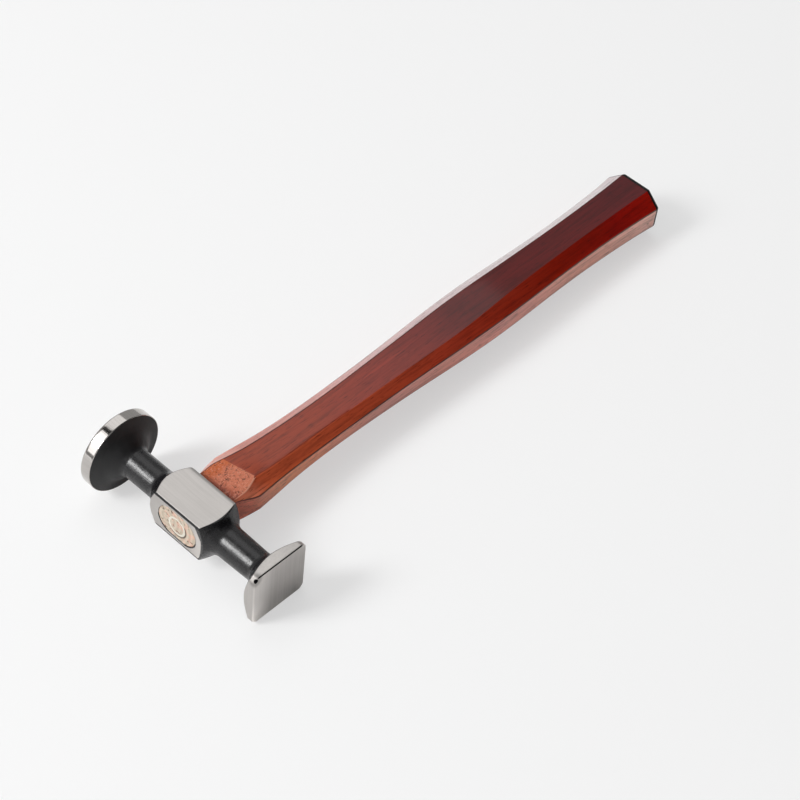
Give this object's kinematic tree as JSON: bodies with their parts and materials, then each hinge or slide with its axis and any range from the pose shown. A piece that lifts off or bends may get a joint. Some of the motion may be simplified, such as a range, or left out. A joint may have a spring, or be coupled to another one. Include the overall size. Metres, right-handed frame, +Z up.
{
  "type": "two-faced hammer",
  "caption": "Hand hammer with a forged steel head, one round and one square polished face on black necks, an eye block and a varnished octagonal wooden handle held by a ring wedge.",
  "frame": {"origin": "middle of the eye, where the head's axis crosses the handle's axis", "axes": "+X along the head towards its square face, +Y along the handle from the eye towards the butt, +Z up out of the upper cheek of the block"},
  "size_m": [0.102, 0.3157, 0.04],
  "materials": {
    "steel": "black on the necks, ground and polished on both faces and on the flats of the block",
    "varnished_wood": "red-brown varnish, bare end grain in the eye",
    "wedge_wood": "bare wood",
    "ring_steel": "plain bright steel"
  },
  "bodies": {
    "root": {"hammer_head": "steel", "handle": "varnished_wood", "kerf_wedge": "wedge_wood", "ring_wedge": "ring_steel"}
  },
  "joints": []
}
